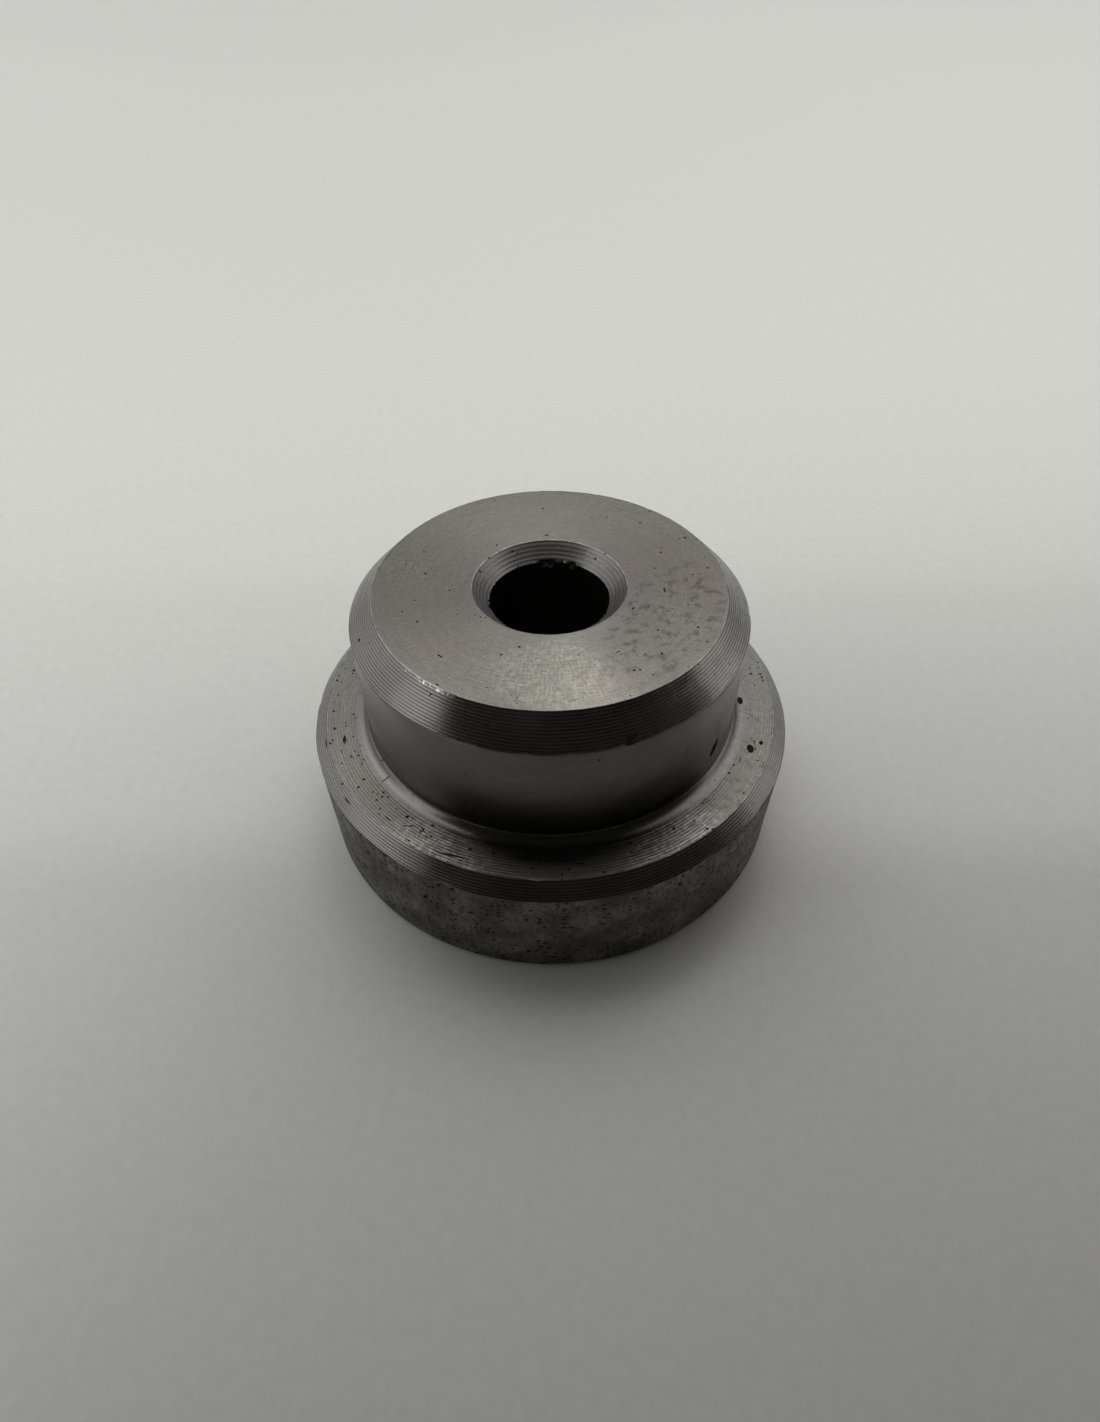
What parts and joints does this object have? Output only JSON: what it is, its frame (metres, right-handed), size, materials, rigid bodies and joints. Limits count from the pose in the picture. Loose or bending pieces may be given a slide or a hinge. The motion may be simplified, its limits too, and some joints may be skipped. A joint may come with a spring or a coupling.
{
  "type": "shaft collar",
  "caption": "Shouldered steel shaft collar: a chamfered boss on a wider flange, with a plain countersunk through bore.",
  "frame": {"origin": "centre of the flat base that the collar stands on", "axes": "+Z along the bore, from the base through the boss's countersunk face; X and Y are free, as the part is round"},
  "size_m": [0.035, 0.035, 0.019],
  "materials": {
    "steel": "Machine-turned mild steel with fine feed lines on the boss, shoulder and chamfers; the flange's rim and base keep darker, pitted hot-rolled bar skin and scale."
  },
  "bodies": {
    "root": {"collar_body": "steel"}
  },
  "joints": []
}
